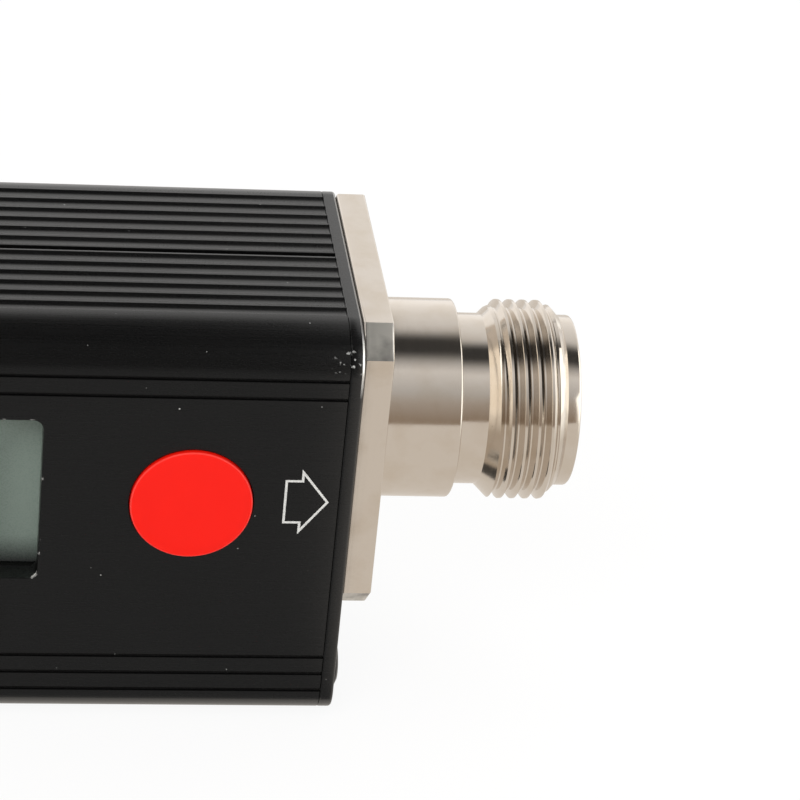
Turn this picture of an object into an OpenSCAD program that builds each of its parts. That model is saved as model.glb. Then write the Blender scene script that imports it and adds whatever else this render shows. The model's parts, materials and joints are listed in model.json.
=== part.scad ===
// In-line radio power and standing-wave meter in a split, fluted metal case.
// X runs from the input jack to the output jack, the display faces -Y and Z is up.
// The origin is under the middle of the case, on the surface that it stands on.

/* [Case] */
// Length between the outer faces of the end plates
body_l = 75; // [70:0.5:120]
// Depth from the display face to the back
body_d = 26.7; // [26.2:0.1:34]
// Height over the ridges between the flutes
body_h = 34.6; // [34.2:0.1:46]
// Radius of the long rounded edges
corner_r = 2.6; // [1.5:0.1:2.8]
// Thickness of the display wall and of the back wall
face_wall = 1.6; // [1.2:0.1:1.6]
// Thickness of the fluted walls, measured over the ridges
side_wall = 1.8; // [1.6:0.1:2]
// Thickness of each end plate
plate_t = 1.1; // [0.8:0.1:2]
// Outer radius of the screw channels inside the case
channel_r = 2.1; // [1.9:0.05:2.2]
// Distance of a screw channel's centre from the nearest fluted face
channel_inset = 3.1; // [2.9:0.05:3.2]
// Height and thickness of the rails that hold the boards
rail = 1; // [0.6:0.1:1.2]
// Thickness of the tongue behind the parting line
tongue_t = 0.65; // [0.5:0.05:0.8]
// Length of that tongue past the parting line's gap
tongue_l = 1.4; // [1:0.1:2]

/* [Flutes and lines] */
// Distance from flute to flute on the fluted walls
flute_pitch = 1.575; // [1.3:0.025:2]
// Width of each flute
flute_w = 1.325; // [1:0.025:1.6]
// Depth of each flute
flute_depth = 0.27; // [0.1:0.01:0.4]
// Least smooth band between the last flute and the display face
front_band = 4.2; // [3.5:0.1:7]
// Least smooth band between the last flute and the back
rear_band = 2.9; // [2.8:0.1:7]
// Distance of the parting line behind the middle of the case
part_y = 0.66; // [0:0.02:1]
// Width of the open gap along the parting line
gap_w = 0.52; // [0.2:0.02:0.8]
// Width of the lines cut along the display face
line_w = 0.3; // [0.2:0.05:0.5]
// Depth of those lines
line_depth = 0.25; // [0.1:0.05:0.4]
// Distance from line to line
line_pitch = 1.57; // [1.2:0.01:2]
// Distance from the fluted face to the first line
first_line = 3.25; // [3:0.05:4]
// Lines above the display
upper_lines = 2; // [0:1:2]
// Lines below the display
lower_lines = 3; // [0:1:3]

/* [Display] */
// Width of the window
window_w = 27.6; // [20:0.1:34]
// Height of the window
window_h = 14; // [10:0.1:18]
// Corner radius of the window
window_r = 0.85; // [0.3:0.05:2]
// Distance from the upper fluted face to the top of the window; the button is level with its middle
panel_drop = 7.15; // [6.8:0.05:8.5]
// Thickness of the display glass
glass_t = 2.2; // [1.8:0.1:2.6]
// How far the glass reaches past the sides of the window
glass_margin_x = 1.7; // [1:0.1:2]
// How far the glass reaches past the top and bottom of the window
glass_margin_z = 0.8; // [0.5:0.1:0.9]
// Wall of the frame that holds the glass
frame_wall = 0.55; // [0.4:0.05:0.7]
// Lip of that frame in front of the glass
lip_t = 0.75; // [0.5:0.05:0.9]
// Width of each rubber contact strip behind the glass
strip_w = 1.8; // [1:0.1:2.5]

/* [Button] */
// Radius of the button
button_r = 4.6; // [3:0.1:5]
// Distance of the button from the middle of the case
button_x = 25.2; // [24:0.1:27]
// How far the button stands out of the display face
button_out = 0.8; // [0.6:0.05:2]
// Thickness of the collar that keeps the button in
collar_t = 0.7; // [0.5:0.05:0.8]
// How far that collar reaches past the button
collar_w = 0.9; // [0.5:0.1:1.2]
// Travel of the button
button_travel = 0.5; // [0.2:0.05:0.5]
// Width of the switch under the button
switch_w = 6; // [5:0.1:7]
// Radius of the switch's plunger
plunger_r = 1.7; // [1:0.1:1.8]

/* [Jacks] */
// Width of the square flange
flange_w = 25.1; // [24:0.1:26]
// Thickness of the flange
flange_t = 2.3; // [1.6:0.05:3]
// Distance between the flange screws
flange_pitch = 18.3; // [18:0.05:18.6]
// Corner chamfer of the flange
flange_cut = 2.12; // [1:0.02:3]
// Radius of the barrel behind the thread
barrel_r = 7.9; // [7:0.05:8.2]
// Radius of the relief between barrel and thread
neck_r = 6.8; // [6:0.05:7]
// Radius over the thread's crests
thread_r = 7.94; // [7.5:0.01:8.2]
// Distance from crest to crest
thread_pitch = 1.058; // [0.9:0.002:1.3]
// Depth of the thread
thread_depth = 0.5; // [0.4:0.02:0.7]
// Radius of the smooth rim at the mouth
rim_r = 6.8; // [6:0.05:7]
// Length of the jack from the end plate to its mouth
jack_l = 18.45; // [17.6:0.05:20]
// Where the barrel ends, from the end plate
barrel_end = 8.9; // [6:0.05:9.5]
// Where the relief ends
neck_end = 11.15; // [10:0.05:11.5]
// Length of the slope from the thread down to the rim
slope_l = 1.05; // [0.6:0.05:1.4]
// Length of the rim
rim_l = 1.05; // [0.6:0.05:1.4]
// Radius of the socket
socket_r = 4.15; // [4.05:0.01:4.3]
// Depth of the socket
socket_depth = 9.1; // [9:0.01:9.2]
// Radius of the insulator
insulator_r = 3.45; // [3:0.05:3.6]
// Radius of the centre contact
contact_r = 1.52; // [1.5:0.01:1.6]
// Radius of the hole in the centre contact
contact_bore = 0.82; // [0.7:0.01:0.9]
// Distance from the mouth to the tip of the contact
tip_depth = 4.1; // [4:0.05:5]
// Radius of the contact's shank
shank_r = 0.75; // [0.6:0.05:1]
// Radius of the spigot that centres the jack in the end plate
spigot_r = 5.4; // [4.6:0.1:6]

/* [Fasteners] */
// Thread radius of every screw
screw_r = 1.25; // [1:0.05:1.3]
// Head radius of the countersunk flange screws
flange_head_r = 2.3; // [2:0.1:2.6]
// Head radius of the end plate screws
plate_head_r = 1.9; // [1.7:0.1:2.2]
// Head height of the end plate screws
plate_head_h = 0.6; // [0.4:0.05:1.2]
// Length of screw inside a channel
screw_grip = 6; // [4:0.5:10]
// Width across the flats of the flange nuts
nut_w = 5; // [4:0.1:5]
// Thickness of the flange nuts
nut_t = 2; // [1.5:0.1:2.4]

/* [Circuit] */
// Thickness of both circuit boards
board_t = 1.6; // [1:0.1:1.8]
// Thickness of the through line
line_t = 0.1; // [0.05:0.01:0.3]
// Width of the through line
line_width = 3; // [2:0.1:4]
// Length of the shield over the coupler
shield_l = 40; // [30:1:44]
// Width of that shield
shield_w = 12; // [8:0.5:13]
// Height of that shield
shield_h = 7; // [4:0.1:8]
// Wall of that shield
shield_t = 0.3; // [0.2:0.05:0.5]
// Width of the controller chip
chip_w = 9; // [6:0.5:12]
// Length of the cell
cell_l = 27; // [20:0.5:30]
// Wall of the cell holder
holder_t = 1.6; // [1:0.1:2]

/* [Hidden] */
$fn = 64;

// Clearances
cut = 1;               // how far a cut runs past the face that it leaves
bond = 0.2;            // how far a rail or tongue runs into its wall
tongue_fit = 0.05;     // around the tongue
board_fit = 0.15;      // between a board and its slot
glass_fit = 0.05;      // around the display glass and its frame
button_fit = 0.15;     // around the button and behind the wall
plunger_fit = 0.1;     // around the switch's plunger
dome_fit = 0.03;       // between the plunger and the dome
stop_fit = 0.1;        // left under the collar at full travel
bore_fit = 0.03;       // around the insulator and the contact
spigot_fit = 0.15;     // around the spigot
hole_fit = 0.15;       // around a screw in a plate or flange
grip_fit = 0.05;       // around a screw in a channel or nut
nut_fit = 0.4;         // between a nut and the board
pocket_fit = 0.2;      // between a nut and the case
part_fit = 0.4;        // between parts on a board
cell_fit = 0.2;        // between the cell and the board behind the display
cell_drop = 0.85;      // between the cell and the board above it
cell_lift = 1.9;       // between the cell and the wall below it
cell_back = 1.05;      // least room between the cell and the back wall

// Case
half_d = body_d / 2;
half_h = body_h / 2;
shell_l = body_l - 2 * plate_t;
inner_y = half_d - face_wall;
inner_z = half_h - side_wall;
ridge_w = flute_pitch - flute_w;
flute_r = (flute_w * flute_w / 4 + flute_depth * flute_depth) / (2 * flute_depth);
front_edge = gap_w / 2 - part_y;
rear_edge = gap_w / 2 + part_y;
front_flutes = floor((half_d - front_band - front_edge) / flute_pitch);
rear_flutes = floor((half_d - rear_band - rear_edge) / flute_pitch);
channel_y = flange_pitch / 2;
channel_z = half_h - channel_inset;
channel_hole_r = screw_r + grip_fit;

// Jacks
jack_x = body_l / 2;
jack_z = body_h - channel_inset - channel_y;
spigot_out = 0.5;
spigot_l = plate_t + spigot_out;
insulator_tail = 2.5;
insulator_seat = 1.5;
shank_l = 6;
shank_flat = 0.5;
thread_start = neck_end + thread_r - neck_r;
rim_start = jack_l - rim_l;
thread_end = rim_start - slope_l;
thread_l = thread_end - thread_start;
crest_w = 0.57;
root_w = 0.1;
thread_grooves = floor((thread_l - crest_w) / thread_pitch);
rim_edge = 0.2;
mouth_edge = 0.4;
seat_x = jack_l - socket_depth;
insulator_back = spigot_l + insulator_tail;

// Cross recesses in the screw heads
recess_reach = 0.6;    // share of the head's radius
recess_depth = 0.6;    // share of the head's height
recess_slot = 0.45;    // width of each bar

// Boards
board_front = channel_r + board_fit - channel_y;
board_rear = board_front + board_t;
rf_top = jack_z - shank_flat - line_t;
rf_bottom = rf_top - board_t;
rf_gap = 1.3;
rf_front = board_rear + rf_gap;
rf_back = inner_y - board_fit;
rf_l = shell_l - 2 * (insulator_back - plate_t) - 2 * nut_fit;

// Display
panel_z = body_h - panel_drop - window_h / 2;
lcd_front = -inner_y + glass_fit + lip_t;
lcd_back = lcd_front + glass_t;
glass_w = window_w + 2 * glass_margin_x;
glass_h = window_h + 2 * glass_margin_z;
pocket_w = glass_w + 2 * glass_fit;
pocket_h = glass_h + 2 * glass_fit;
lip_reach = 0.4;

// Button and switch
cap_front = -half_d - button_out;
collar_front = -inner_y + button_fit;
collar_rear = collar_front + collar_t;
cover_t = 0.2;
cover_front = collar_rear + button_travel + stop_fit;
housing_front = cover_front + cover_t;
plunger_flange_t = 0.5;
plunger_flange_w = 0.4;
plunger_rear = housing_front + plunger_flange_t + glass_fit;
dome_spare = 0.1;
dome_h = button_travel + dome_spare;
dome_r = 2.2;
dome_t = 0.1;
dome_seat = plunger_rear + dome_fit + dome_h;
well_r = dome_r + plunger_fit;

// Cell, as thick as the room under the coupler board allows
cell_room_z = rf_bottom - side_wall - cell_drop - cell_lift;
cell_room_y = inner_y - board_rear - cell_fit - cell_back;
cell_r = min(cell_room_z, cell_room_y) / 2;
cell_x = -13;
cell_y = board_rear + cell_fit + cell_r;
cell_z = rf_bottom - cell_drop - cell_r;
nub_r = 3.2;
nub_l = 1;
leaf_t = 0.3;
leaf_bump = 0.7;
leaf_w = 8;
leaf_out = 3;
bump_r = 2.2;
holder_out = 4;
holder_inset = 0.5;
holder_h = 2 * (cell_r - holder_inset);
corner_mid = cell_r + (cell_fit - holder_inset) / 2;
corner_skew = (cell_fit + holder_inset) / 2;
beam = corner_mid - sqrt(pow(cell_r + cell_fit, 2) / 2 - pow(corner_skew, 2));
holder_half = cell_l / 2 + leaf_t + leaf_bump;

// Header between the boards
pin_pitch = 2.54;
pin_count = 3;
pin_w = 0.6;
pin_hole_r = 0.5;
pin_out = 0.6;
header_x = -26;
header_d = 2.4;
header_h = 2.5;
header_w = pin_count * pin_pitch;
pin_z = rf_top + header_h / 2;

// Parts on the display board
chip_x = 17;
chip_z = 11.3;
chip_t = 1.2;
chip_stand = 0.1;
lead_w = 0.4;
lead_l = 1;
lead_t = 0.2;
lead_pitch = 0.8;
chip_half = chip_w / 2 + lead_l;
crystal_w = 7;
crystal_d = 3;
crystal_h = 2.4;
regulator_w = 4.5;
regulator_d = 1.5;
capacitor_w = 3.2;
capacitor_d = 1.6;
block_h = 2.5;
block_pitch = 4.2;
block_x = chip_x + chip_half + part_fit + regulator_w / 2;

// Parts beside the through line
sense_gap = 0.6;
sense_w = 0.8;
tile_l = 2;
tile_w = 1.25;
tile_h = 0.6;

// Shield over the coupler
shield_out = 1;
arch_fit = 0.2;
arch_h = 1;

// Section drawn in Y and Z, pushed out along X from x0
module push_x(x0, length) {
    translate([x0, 0, 0]) rotate([90, 0, 90]) linear_extrude(length) children();
}

// Outline drawn in X and Z, pushed out along Y from y0 to y1
module push_y(y0, y1) {
    translate([0, y1, 0]) rotate([90, 0, 0]) linear_extrude(y1 - y0) children();
}

// Round bar along X from x0 to x1
module rod_x(x0, x1, r) {
    translate([x0, 0, 0]) rotate([0, 90, 0]) cylinder(h = x1 - x0, r = r);
}

// Round bar along Y from y0 to y1
module rod_y(y0, y1, r) {
    translate([0, y0, 0]) rotate([-90, 0, 0]) cylinder(h = y1 - y0, r = r);
}

// Box between two corners
module box(low, high) {
    translate(low) cube(high - low);
}

// Outline drawn as radius and X, turned about X
module turn_x() {
    rotate([0, 90, 0]) rotate_extrude() children();
}

module rounded_rect(w, h, r) {
    square([w - 2 * r, h], center = true);
    square([w, h - 2 * r], center = true);
    for (sx = [-1, 1], sy = [-1, 1])
        translate([sx * (w / 2 - r), sy * (h / 2 - r)]) circle(r);
}

// One end of the case: side 1 is the output, side -1 the input
module at_end(side) {
    mirror([side > 0 ? 0 : 1, 0, 0]) children();
}

// Place of a jack: X from the outer face of the end plate, axis on the jack's own
module at_jack(side) {
    at_end(side) translate([jack_x, 0, jack_z]) children();
}

// Half of the case in section, on the +Y side, from the edge at its parting line to its flat wall
module half_section(edge, flutes) {
    difference() {
        rounded_rect(body_d, body_h, corner_r);
        square([2 * inner_y, 2 * inner_z], center = true);
        translate([edge - body_d, -body_h]) square([body_d, 2 * body_h]);
        for (s = [-1, 1], k = [0 : flutes - 1])
            translate([edge + ridge_w + flute_w / 2 + k * flute_pitch, s * (half_h - flute_depth + flute_r)])
                circle(flute_r);
    }
}

// Screw channels of one half, as solid rounds or as their holes
module channels(r) {
    for (s = [-1, 1]) translate([channel_y, s * channel_z]) circle(r);
}

module front_section() {
    rail_y = -board_rear - board_fit - rail / 2;
    slot_l = tongue_l + tongue_fit;
    slot_h = tongue_t + tongue_fit;
    difference() {
        union() {
            half_section(front_edge, front_flutes);
            channels(channel_r);
            for (s = [-1, 1])
                translate([rail_y, s * (inner_z + (bond - rail) / 2)])
                    square([rail, rail + bond], center = true);
        }
        channels(channel_hole_r);
        for (s = [-1, 1])
            translate([front_edge + (slot_l - cut) / 2, s * (inner_z + (slot_h - cut) / 2)])
                square([slot_l + cut, slot_h + cut], center = true);
        for (k = [0 : 1 : upper_lines - 1])
            translate([half_d - line_depth, half_h - first_line - k * line_pitch - line_w / 2])
                square([line_depth + cut, line_w]);
        for (k = [0 : 1 : lower_lines - 1])
            translate([half_d - line_depth, first_line + k * line_pitch - half_h - line_w / 2])
                square([line_depth + cut, line_w]);
    }
}

module rear_section() {
    difference() {
        union() {
            half_section(rear_edge, rear_flutes);
            channels(channel_r);
            for (s = [-1, 1])
                translate([rear_edge - (gap_w + tongue_l - bond) / 2, s * (inner_z + tongue_t / 2)])
                    square([gap_w + tongue_l + bond, tongue_t], center = true);
            for (z = [rf_top + board_fit, rf_bottom - board_fit - rail])
                translate([inner_y - rail, z - half_h]) square([rail + bond, rail]);
        }
        channels(channel_hole_r);
    }
}

// Room for the flange nuts in both halves of the case
module nut_pockets() {
    pocket_l = nut_t + pocket_fit;
    pocket_w = 2 * channel_y + nut_w + 2 * pocket_fit;
    pocket_h = nut_w * 2 / sqrt(3) + 2 * pocket_fit;
    for (s = [-1, 1])
        translate([s * (shell_l - pocket_l + cut) / 2, 0, jack_z - channel_y])
            cube([pocket_l + cut, pocket_w, pocket_h], center = true);
}

module front_shell() {
    color([0.05, 0.05, 0.055]) difference() {
        mirror([0, 1, 0]) translate([0, 0, half_h]) push_x(-shell_l / 2, shell_l) front_section();
        push_y(-half_d - cut, -inner_y + cut) translate([0, panel_z])
            rounded_rect(window_w, window_h, window_r);
        translate([button_x, 0, panel_z])
            rod_y(-half_d - cut, -inner_y + cut, button_r + button_fit);
        nut_pockets();
    }
}

module rear_shell() {
    color([0.05, 0.05, 0.055]) difference() {
        translate([0, 0, half_h]) push_x(-shell_l / 2, shell_l) rear_section();
        nut_pockets();
    }
}

module end_plate(side) {
    color([0.06, 0.06, 0.065]) at_end(side) difference() {
        translate([0, 0, half_h]) push_x(jack_x - plate_t, plate_t)
            rounded_rect(body_d, body_h, corner_r);
        translate([0, 0, jack_z])
            rod_x(jack_x - plate_t - cut, jack_x + cut, spigot_r + spigot_fit);
        for (y = [-channel_y, channel_y], z = [channel_inset, jack_z - channel_y, jack_z + channel_y])
            translate([0, y, z])
                rod_x(jack_x - plate_t - cut, jack_x + cut, screw_r + hole_fit);
    }
}

module end_plate_in() {
    end_plate(-1);
}

module end_plate_out() {
    end_plate(1);
}

// Two bars crossing at right angles, sunk into a screw head whose face is at x
module cross_recess(x, r, depth) {
    for (a = [0, 90])
        translate([x - depth, 0, 0]) rotate([a, 0, 0])
            translate([0, -r, -recess_slot / 2]) cube([depth + cut, 2 * r, recess_slot]);
}

module plate_screws(side) {
    dome = 0.2;
    color([0.12, 0.12, 0.13]) at_end(side)
        for (y = [-channel_y, channel_y]) translate([jack_x, y, channel_inset]) difference() {
            turn_x() polygon([
                [0, -plate_t - screw_grip], [screw_r, -plate_t - screw_grip], [screw_r, 0],
                [plate_head_r, 0], [plate_head_r, plate_head_h - dome],
                [plate_head_r - 2 * dome, plate_head_h], [0, plate_head_h]
            ]);
            cross_recess(plate_head_h, plate_head_r * recess_reach, plate_head_h * recess_depth);
        }
}

module plate_screws_in() {
    plate_screws(-1);
}

module plate_screws_out() {
    plate_screws(1);
}

// One thread groove, as radius and X, round its middle x
function groove_points(x) = [
    [thread_r, x - (thread_pitch - crest_w) / 2], [thread_r - thread_depth, x - root_w / 2],
    [thread_r - thread_depth, x + root_w / 2], [thread_r, x + (thread_pitch - crest_w) / 2]
];

function jack_outline() = concat(
    [[0, -spigot_l], [spigot_r, -spigot_l], [spigot_r, flange_t / 2], [barrel_r, flange_t / 2]],
    [[barrel_r, barrel_end], [neck_r, barrel_end], [neck_r, neck_end], [thread_r, thread_start]],
    [for (k = [0 : thread_grooves - 1],
          p = groove_points(thread_start + thread_l / 2 + (k - (thread_grooves - 1) / 2) * thread_pitch)) p],
    [[thread_r, thread_end], [rim_r, rim_start], [rim_r, jack_l - rim_edge]],
    [[rim_r - rim_edge, jack_l], [0, jack_l]]
);

module flange_outline() {
    half = flange_w / 2;
    in = half - flange_cut;
    polygon([
        [half, in], [in, half], [-in, half], [-half, in],
        [-half, -in], [-in, -half], [in, -half], [half, -in]
    ]);
}

// The four corners of the flange
module at_flange_screws(heights) {
    for (y = [-channel_y, channel_y], z = heights) translate([0, y, z]) children();
}

module jack(side) {
    hole_r = screw_r + hole_fit;
    sink_r = flange_head_r + hole_fit / 2;
    color([0.78, 0.75, 0.70]) at_jack(side) difference() {
        union() {
            turn_x() polygon(jack_outline());
            push_x(0, flange_t) flange_outline();
        }
        rod_x(-spigot_l - cut, seat_x + cut, insulator_r + bore_fit);
        rod_x(seat_x, jack_l + cut, socket_r);
        turn_x() polygon([
            [0, jack_l - mouth_edge], [socket_r, jack_l - mouth_edge],
            [socket_r + mouth_edge, jack_l], [socket_r + mouth_edge, jack_l + cut], [0, jack_l + cut]
        ]);
        at_flange_screws([-channel_y, channel_y]) {
            rod_x(-cut, flange_t + cut, hole_r);
            turn_x() polygon([
                [0, flange_t - sink_r + screw_r], [screw_r, flange_t - sink_r + screw_r],
                [sink_r, flange_t], [sink_r, flange_t + cut], [0, flange_t + cut]
            ]);
        }
    }
}

module jack_in() {
    jack(-1);
}

module jack_out() {
    jack(1);
}

module insulator(side) {
    color([0.93, 0.92, 0.88]) at_jack(side) difference() {
        rod_x(-insulator_back, seat_x - insulator_seat, insulator_r);
        rod_x(-insulator_back - cut, seat_x, shank_r + bore_fit);
    }
}

module insulator_in() {
    insulator(-1);
}

module insulator_out() {
    insulator(1);
}

module contact(side) {
    tip_x = jack_l - tip_depth;
    front_x = seat_x - insulator_seat;
    slit = 0.25;
    slit_l = 3;
    bore_l = 4.5;
    tip_edge = 0.2;
    color([0.86, 0.68, 0.32]) at_jack(side) difference() {
        turn_x() polygon([
            [0, -insulator_back - shank_l], [shank_r, -insulator_back - shank_l], [shank_r, front_x],
            [contact_r, front_x], [contact_r, tip_x - tip_edge], [contact_r - tip_edge, tip_x], [0, tip_x]
        ]);
        rod_x(tip_x - bore_l, tip_x + cut, contact_bore);
        for (a = [0, 90]) rotate([a, 0, 0])
            translate([tip_x - slit_l, -contact_r - cut, -slit / 2])
                cube([slit_l + cut, 2 * (contact_r + cut), slit]);
        box(
            [-insulator_back - shank_l - cut, -shank_r, -shank_r - cut],
            [-insulator_back, shank_r, -shank_flat]
        );
    }
}

module contact_in() {
    contact(-1);
}

module contact_out() {
    contact(1);
}

// A countersunk screw from the flange's face, reaching back to x
module flange_screw(back_x) {
    head_x = flange_t - hole_fit / 3;
    difference() {
        turn_x() polygon([
            [0, back_x], [screw_r, back_x], [screw_r, head_x - flange_head_r + screw_r],
            [flange_head_r, head_x], [0, head_x]
        ]);
        cross_recess(head_x, flange_head_r * recess_reach, (flange_head_r - screw_r) * recess_depth);
    }
}

module flange_screws(side) {
    nut_out = 0.5;
    color([0.74, 0.73, 0.71]) at_jack(side) {
        at_flange_screws([channel_y]) flange_screw(-plate_t - screw_grip);
        at_flange_screws([-channel_y]) flange_screw(-plate_t - nut_t - nut_out);
    }
}

module flange_screws_in() {
    flange_screws(-1);
}

module flange_screws_out() {
    flange_screws(1);
}

module flange_nuts(side) {
    nut_corner_r = nut_w / sqrt(3);
    color([0.70, 0.69, 0.66]) at_jack(side) at_flange_screws([-channel_y]) difference() {
        push_x(-plate_t - nut_t, nut_t) rotate(30) circle(nut_corner_r, $fn = 6);
        rod_x(-plate_t - nut_t - cut, cut, screw_r + grip_fit);
    }
}

module flange_nuts_in() {
    flange_nuts(-1);
}

module flange_nuts_out() {
    flange_nuts(1);
}

module lcd_glass() {
    color([0.42, 0.48, 0.44])
        box([-glass_w / 2, lcd_front, panel_z - glass_h / 2], [glass_w / 2, lcd_back, panel_z + glass_h / 2]);
}

module lcd_frame() {
    frame_w = pocket_w + 2 * frame_wall;
    frame_h = pocket_h + 2 * frame_wall;
    lip_w = window_w + 2 * lip_reach;
    lip_h = window_h + 2 * lip_reach;
    color([0.10, 0.10, 0.10]) difference() {
        push_y(lcd_front - lip_t, board_front) translate([0, panel_z])
            square([frame_w, frame_h], center = true);
        push_y(lcd_front, board_front + cut) translate([0, panel_z])
            square([pocket_w, pocket_h], center = true);
        push_y(lcd_front - lip_t - cut, lcd_front + cut) translate([0, panel_z])
            square([lip_w, lip_h], center = true);
    }
}

module lcd_strips() {
    color([0.85, 0.55, 0.60]) for (s = [-1, 1])
        push_y(lcd_back, board_front) translate([0, panel_z + s * (glass_h - strip_w) / 2])
            square([glass_w, strip_w], center = true);
}

module lcd_backlight() {
    color([0.90, 0.92, 0.88]) push_y(lcd_back, board_front) translate([0, panel_z])
        square([glass_w - 2 * glass_fit, glass_h - 2 * strip_w - 2 * glass_fit], center = true);
}

module button_cap() {
    rim = 0.3;
    color([0.90, 0.06, 0.04]) translate([button_x, 0, panel_z]) rotate([-90, 0, 0]) rotate_extrude()
        polygon([
            [0, cap_front], [button_r - rim, cap_front], [button_r, cap_front + rim],
            [button_r, collar_front], [button_r + collar_w, collar_front],
            [button_r + collar_w, collar_rear], [0, collar_rear]
        ]);
}

module switch_plunger() {
    color([0.08, 0.08, 0.08]) translate([button_x, 0, panel_z]) {
        rod_y(collar_rear, plunger_rear, plunger_r);
        rod_y(plunger_rear - plunger_flange_t, plunger_rear, plunger_r + plunger_flange_w);
    }
}

// Thin sprung dome: an arch of revolution whose crown meets the plunger
module switch_dome() {
    sphere_r = (dome_r * dome_r + dome_h * dome_h) / (2 * dome_h);
    centre = dome_h - sphere_r;
    color([0.75, 0.75, 0.72]) translate([button_x, dome_seat, panel_z]) rotate([90, 0, 0]) rotate_extrude()
        intersection() {
            difference() {
                translate([0, centre]) circle(sphere_r);
                translate([0, centre]) circle(sphere_r - dome_t);
            }
            square([dome_r, dome_h]);
        }
}

module switch_cover() {
    color([0.75, 0.75, 0.72]) translate([button_x, 0, panel_z]) difference() {
        push_y(cover_front, housing_front) square(switch_w, center = true);
        rod_y(cover_front - cut, housing_front + cut, plunger_r + plunger_fit);
    }
}

module switch_housing() {
    color([0.10, 0.10, 0.10]) translate([button_x, 0, panel_z]) difference() {
        push_y(housing_front, board_front) square(switch_w, center = true);
        rod_y(housing_front - cut, dome_seat, well_r);
    }
}

module main_board() {
    board_l = shell_l - 2 * (spigot_out + part_fit);
    board_h = 2 * (inner_z - board_fit);
    notch_l = nut_t + nut_fit;
    notch_h = nut_w * 2 / sqrt(3) + 2 * nut_fit;
    color([0.10, 0.32, 0.16]) difference() {
        push_y(board_front, board_rear) translate([0, half_h]) square([board_l, board_h], center = true);
        for (s = [-1, 1])
            translate([s * (shell_l - notch_l) / 2, board_front + board_t / 2, jack_z - channel_y])
                cube([notch_l, board_t + cut, notch_h], center = true);
        for (k = [0 : pin_count - 1]) translate([header_x + (k - (pin_count - 1) / 2) * pin_pitch, 0, pin_z])
            rod_y(board_front - cut, board_rear + cut, pin_hole_r);
    }
}

module controller_chip() {
    leads = floor((chip_w - lead_pitch) / lead_pitch);
    color([0.07, 0.07, 0.075]) translate([chip_x, board_rear, chip_z]) {
        box([-chip_w / 2, chip_stand, -chip_w / 2], [chip_w / 2, chip_stand + chip_t, chip_w / 2]);
        for (a = [0, 90, 180, 270], k = [0 : leads - 1])
            rotate([0, a, 0]) translate([(k - (leads - 1) / 2) * lead_pitch, 0, chip_w / 2 - bond])
                translate([-lead_w / 2, 0, 0]) cube([lead_w, chip_stand + lead_t, lead_l + bond]);
    }
}

// One block standing on the back of the display board, centred at x and z
module board_block(x, z, w, d, h) {
    translate([x - w / 2, board_rear, z - h / 2]) cube([w, d, h]);
}

// Crystal under the chip, a regulator and two capacitors beside it
module board_parts() {
    color([0.72, 0.70, 0.66]) {
        board_block(chip_x, chip_z - chip_half - part_fit - crystal_h / 2, crystal_w, crystal_d, crystal_h);
        board_block(block_x, chip_z - block_pitch, regulator_w, regulator_d, block_h);
        for (k = [0, 1])
            board_block(block_x, chip_z + k * block_pitch, capacitor_w, capacitor_d, block_h);
    }
}

module board_header() {
    color([0.07, 0.07, 0.07]) {
        box(
            [header_x - header_w / 2, rf_front, rf_top],
            [header_x + header_w / 2, rf_front + header_d, rf_top + header_h]
        );
        for (k = [0 : pin_count - 1]) translate([header_x + (k - (pin_count - 1) / 2) * pin_pitch, 0, pin_z])
            box([-pin_w / 2, board_front - pin_out, -pin_w / 2], [pin_w / 2, rf_front + bond, pin_w / 2]);
    }
}

module rf_board() {
    color([0.10, 0.32, 0.16]) box([-rf_l / 2, rf_front, rf_bottom], [rf_l / 2, rf_back, rf_top]);
}

module through_line() {
    half_l = rf_l / 2 - nut_fit;
    color([0.85, 0.65, 0.35])
        box([-half_l, -line_width / 2, rf_top], [half_l, line_width / 2, rf_top + line_t]);
}

// Sense line beside the through line, with a resistor and a diode at each end
module coupler_parts() {
    sense_l = shield_l / 2;
    color([0.35, 0.33, 0.30]) translate([0, line_width / 2 + sense_gap, rf_top]) {
        box([-sense_l / 2, 0, 0], [sense_l / 2, sense_w, line_t]);
        for (s = [-1, 1], k = [0, 1])
            translate([s * (sense_l + tile_l) / 2 + s * sense_gap - tile_l / 2, k * 2 * tile_w, 0])
                cube([tile_l, tile_w, tile_h]);
    }
}

module rf_shield() {
    low = [-shield_l / 2, -line_width / 2 - shield_out, rf_top];
    high = [shield_l / 2, low.y + shield_w, rf_top + shield_h];
    skin = [shield_t, shield_t, shield_t];
    arch_w = line_width + 2 * arch_fit;
    color([0.76, 0.77, 0.76]) difference() {
        box(low, high);
        box([low.x + shield_t, low.y + shield_t, low.z - cut], high - skin);
        translate([0, 0, rf_top]) cube([shield_l + cut, arch_w, 2 * arch_h], center = true);
    }
}

module battery_cell() {
    can_l = cell_l - nub_l;
    color([0.30, 0.36, 0.52]) translate([cell_x - cell_l / 2, cell_y, cell_z]) {
        rod_x(0, can_l, cell_r);
        rod_x(can_l, cell_l, nub_r);
    }
}

module battery_holder() {
    beam_edge = holder_h / 2;
    color([0.09, 0.09, 0.09]) translate([cell_x, board_rear, cell_z]) {
        for (s = [-1, 1]) translate([s * (holder_half + holder_t / 2) - holder_t / 2, 0, -holder_h / 2])
            cube([holder_t, cell_y - board_rear + holder_out, holder_h]);
        for (s = [-1, 1]) translate([-holder_half - bond, 0, s * (beam_edge - beam / 2) - beam / 2])
            cube([2 * (holder_half + bond), beam, beam]);
    }
}

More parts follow.
